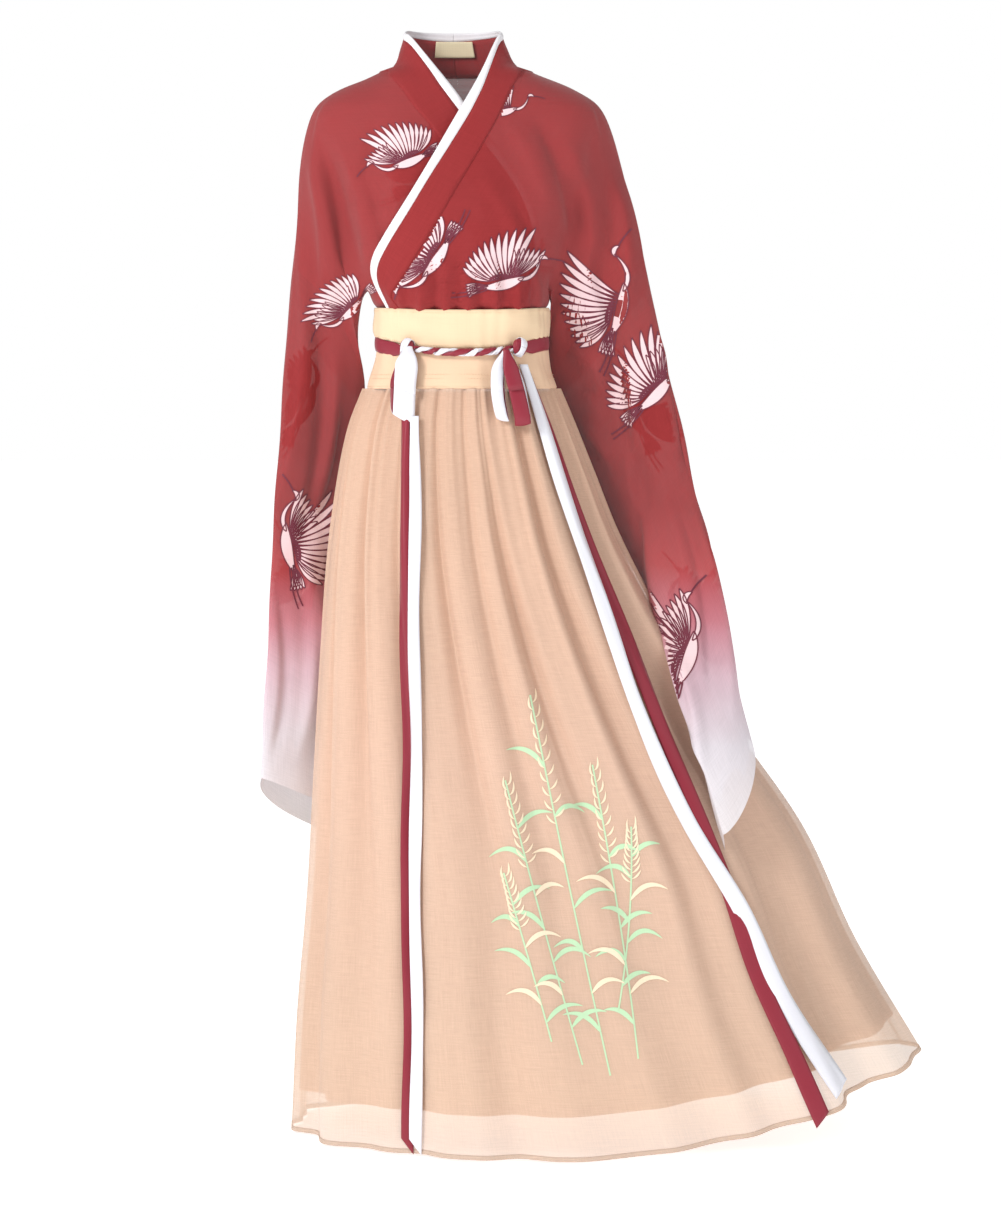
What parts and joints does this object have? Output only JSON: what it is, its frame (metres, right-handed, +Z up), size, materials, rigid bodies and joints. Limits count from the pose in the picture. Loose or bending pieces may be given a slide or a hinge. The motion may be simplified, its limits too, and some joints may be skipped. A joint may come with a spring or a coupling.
{
  "type": "hanfu jacket and skirt set",
  "caption": "Hollow worn-form hanfu: sheer cross-collar jacket with wide hanging ombre sleeves, tucked into a high-waisted pleated skirt tied with two-faced ribbons.",
  "frame": {"origin": "the base of the neck, midway between the shoulders, where the wearer holds the garment up", "axes": "+Z up, the front faces -Y, +X is the wearer's left"},
  "size_m": [0.8537, 0.4602, 1.4007],
  "materials": {
    "jacket_chiffon": "sheer deep red chiffon with printed cranes",
    "sleeve_chiffon": "sheer chiffon, deep red running through pink to white, printed cranes",
    "binding_white": "white satin-woven binding",
    "skirt_chiffon": "sheer peach chiffon with reed embroidery",
    "skirt_lining": "plain peach lining cloth",
    "band_cream": "interfaced cream peach cloth, top-stitched",
    "band_peach": "interfaced peach cloth, top-stitched",
    "ribbon_red": "deep red ribbon cloth",
    "ribbon_white": "white ribbon cloth",
    "label_cloth": "woven label cloth, bare"
  },
  "bodies": {
    "root": {"body_left": "jacket_chiffon", "body_right": "jacket_chiffon", "sleeve_left": "sleeve_chiffon", "sleeve_right": "sleeve_chiffon", "collar_band_left": "jacket_chiffon", "collar_band_right": "jacket_chiffon", "collar_binding_left": "binding_white", "collar_binding_right": "binding_white", "skirt_outer": "skirt_chiffon", "skirt_lining": "skirt_lining", "waistband_upper": "band_cream", "waistband_lower": "band_peach", "tie_wrap": "ribbon_red", "tie_twist": "ribbon_red", "knot_left": "ribbon_red", "knot_right": "ribbon_red", "loop_right": "ribbon_white", "loop_left_red": "ribbon_red", "loop_left_white": "ribbon_white", "tail_right_white": "ribbon_white", "tail_right_red": "ribbon_red", "tail_left_white": "ribbon_white", "tail_left_red": "ribbon_red", "neck_label": "label_cloth"}
  },
  "joints": []
}
